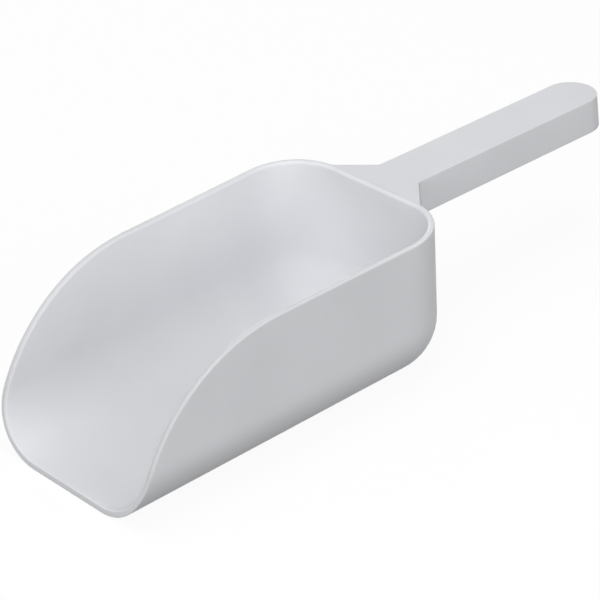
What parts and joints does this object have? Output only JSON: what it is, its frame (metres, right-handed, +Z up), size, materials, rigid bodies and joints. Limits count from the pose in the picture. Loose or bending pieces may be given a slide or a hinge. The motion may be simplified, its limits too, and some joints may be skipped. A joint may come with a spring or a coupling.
{
  "type": "ice scoop",
  "caption": "White moulded ice scoop: open flat-floored bowl with rounded rear corners and a mouth that curves down to a straight lip, with a straight hollow bar handle behind it.",
  "frame": {"origin": "on the underside of the flat floor, on the plane of symmetry, below the point where the straight rim starts to fall to the lip", "axes": "+X from the lip to the end of the handle, +Y across the bowl, +Z up from the floor to the rim"},
  "size_m": [0.3826, 0.125, 0.0843],
  "materials": {
    "white_plastic": "satin"
  },
  "bodies": {
    "root": {"bowl": "white_plastic", "handle": "white_plastic", "handle_cover": "white_plastic"}
  },
  "joints": []
}
